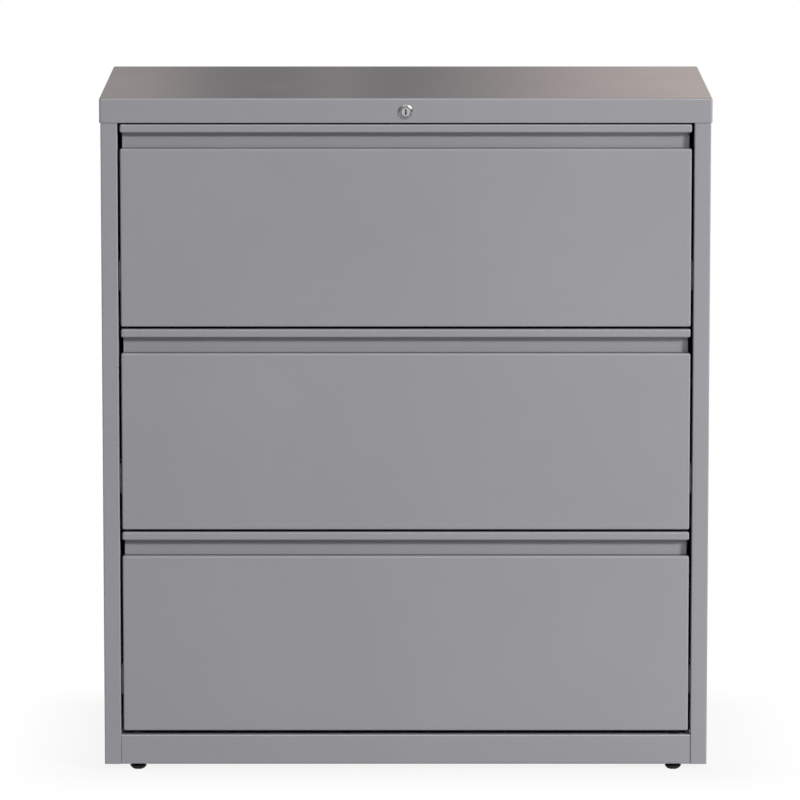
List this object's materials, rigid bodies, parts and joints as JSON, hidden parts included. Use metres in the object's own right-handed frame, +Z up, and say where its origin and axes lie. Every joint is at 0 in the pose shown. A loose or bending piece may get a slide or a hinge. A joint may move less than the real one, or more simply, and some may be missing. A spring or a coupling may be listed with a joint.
{
  "type": "lateral filing cabinet",
  "caption": "Wide painted steel filing cabinet with full-width drawers, recessed finger pulls, a central lock in the top cap and levelling glides.",
  "frame": {"origin": "on the floor, under the middle of the cabinet", "axes": "+Z up, +Y to the back, +X to the right as seen from the front"},
  "size_m": [0.9144, 0.4756, 1.0223],
  "materials": {
    "paint": "satin grey powder coat",
    "zinc": "bright zinc plate",
    "chrome": "bright chrome plate",
    "iron": "bare dark plate",
    "black_paint": "black e-coat",
    "nylon": "natural nylon"
  },
  "bodies": {
    "case": {"left_side_panel": "paint", "right_side_panel": "paint", "top_cap": "paint", "back_panel": "paint", "base_rail": "paint", "rear_base_rail": "paint", "bottom_panel": "paint", "front_upright_left": "zinc", "front_upright_right": "zinc", "rear_upright_left": "zinc", "rear_upright_right": "zinc", "counterweight": "iron", "lock_housing": "chrome", "lock_nut": "zinc", "lower_bar_guide": "nylon", "upper_bar_guide": "nylon", "bottom_case_rail_left": "zinc", "bottom_case_rail_right": "zinc", "middle_case_rail_left": "zinc", "middle_case_rail_right": "zinc", "top_case_rail_left": "zinc", "top_case_rail_right": "zinc"},
    "bottom_drawer": {"bottom_drawer_front": "paint", "bottom_drawer_pan": "paint", "bottom_front_hang_bar": "zinc", "bottom_rear_hang_bar": "zinc", "bottom_lock_catch": "zinc", "bottom_drawer_rail_left": "zinc", "bottom_drawer_rail_right": "zinc"},
    "bottom_middle_rails": {"bottom_middle_rail_left": "zinc", "bottom_middle_rail_right": "zinc"},
    "middle_drawer": {"middle_drawer_front": "paint", "middle_drawer_pan": "paint", "middle_front_hang_bar": "zinc", "middle_rear_hang_bar": "zinc", "middle_lock_catch": "zinc", "middle_drawer_rail_left": "zinc", "middle_drawer_rail_right": "zinc"},
    "middle_middle_rails": {"middle_middle_rail_left": "zinc", "middle_middle_rail_right": "zinc"},
    "top_drawer": {"top_drawer_front": "paint", "top_drawer_pan": "paint", "top_front_hang_bar": "zinc", "top_rear_hang_bar": "zinc", "top_lock_catch": "zinc", "top_drawer_rail_left": "zinc", "top_drawer_rail_right": "zinc"},
    "top_middle_rails": {"top_middle_rail_left": "zinc", "top_middle_rail_right": "zinc"},
    "lock_cylinder": {"lock_plug": "chrome", "lock_cam": "zinc"},
    "lock_link": {"lock_link": "zinc"},
    "lock_bar": {"lock_bar": "zinc", "bottom_lock_tab": "zinc", "middle_lock_tab": "zinc", "top_lock_tab": "zinc"},
    "glide_front_left": {"glide_front_left": "black_paint"},
    "glide_front_right": {"glide_front_right": "black_paint"},
    "glide_rear_left": {"glide_rear_left": "black_paint"},
    "glide_rear_right": {"glide_rear_right": "black_paint"}
  },
  "joints": [
    {"name": "bottom_drawer_slide", "type": "slide", "parent": "case", "child": "bottom_drawer", "axis": [0, -1, 0], "range_m": [0, 0.39]},
    {"name": "bottom_rails_slide", "type": "slide", "parent": "case", "child": "bottom_middle_rails", "axis": [0, -1, 0], "range_m": [0, 0.195]},
    {"name": "middle_drawer_slide", "type": "slide", "parent": "case", "child": "middle_drawer", "axis": [0, -1, 0], "range_m": [0, 0.39]},
    {"name": "middle_rails_slide", "type": "slide", "parent": "case", "child": "middle_middle_rails", "axis": [0, -1, 0], "range_m": [0, 0.195]},
    {"name": "top_drawer_slide", "type": "slide", "parent": "case", "child": "top_drawer", "axis": [0, -1, 0], "range_m": [0, 0.39]},
    {"name": "top_rails_slide", "type": "slide", "parent": "case", "child": "top_middle_rails", "axis": [0, -1, 0], "range_m": [0, 0.195]},
    {"name": "lock_bar_slide", "type": "slide", "parent": "case", "child": "lock_bar", "axis": [0, 0, 1], "range_m": [0, 0.012]},
    {"name": "lock_turn", "type": "hinge", "parent": "case", "child": "lock_cylinder", "pos_m": [0, -0.2352, 1.00195], "axis": [0, 1, 0], "range_deg": [0, 90]},
    {"name": "lock_link_slide", "type": "slide", "parent": "case", "child": "lock_link", "axis": [1, 0, 0], "range_m": [0, 0.012]},
    {"name": "glide_front_left_turn", "type": "hinge", "parent": "case", "child": "glide_front_left", "pos_m": [-0.4053, -0.2174, 0], "axis": [0, 0, 1], "continuous": true},
    {"name": "glide_front_right_turn", "type": "hinge", "parent": "case", "child": "glide_front_right", "pos_m": [0.4053, -0.2174, 0], "axis": [0, 0, 1], "continuous": true},
    {"name": "glide_rear_left_turn", "type": "hinge", "parent": "case", "child": "glide_rear_left", "pos_m": [-0.4053, 0.2174, 0], "axis": [0, 0, 1], "continuous": true},
    {"name": "glide_rear_right_turn", "type": "hinge", "parent": "case", "child": "glide_rear_right", "pos_m": [0.4053, 0.2174, 0], "axis": [0, 0, 1], "continuous": true}
  ],
  "couplings": [
    {"joint": "bottom_rails_slide", "follows": "bottom_drawer_slide", "ratio": 0.5},
    {"joint": "middle_rails_slide", "follows": "middle_drawer_slide", "ratio": 0.5},
    {"joint": "top_rails_slide", "follows": "top_drawer_slide", "ratio": 0.5},
    {"joint": "lock_turn", "follows": "lock_bar_slide", "rad_per_m": 130.9},
    {"joint": "lock_link_slide", "follows": "lock_bar_slide", "ratio": 1}
  ]
}
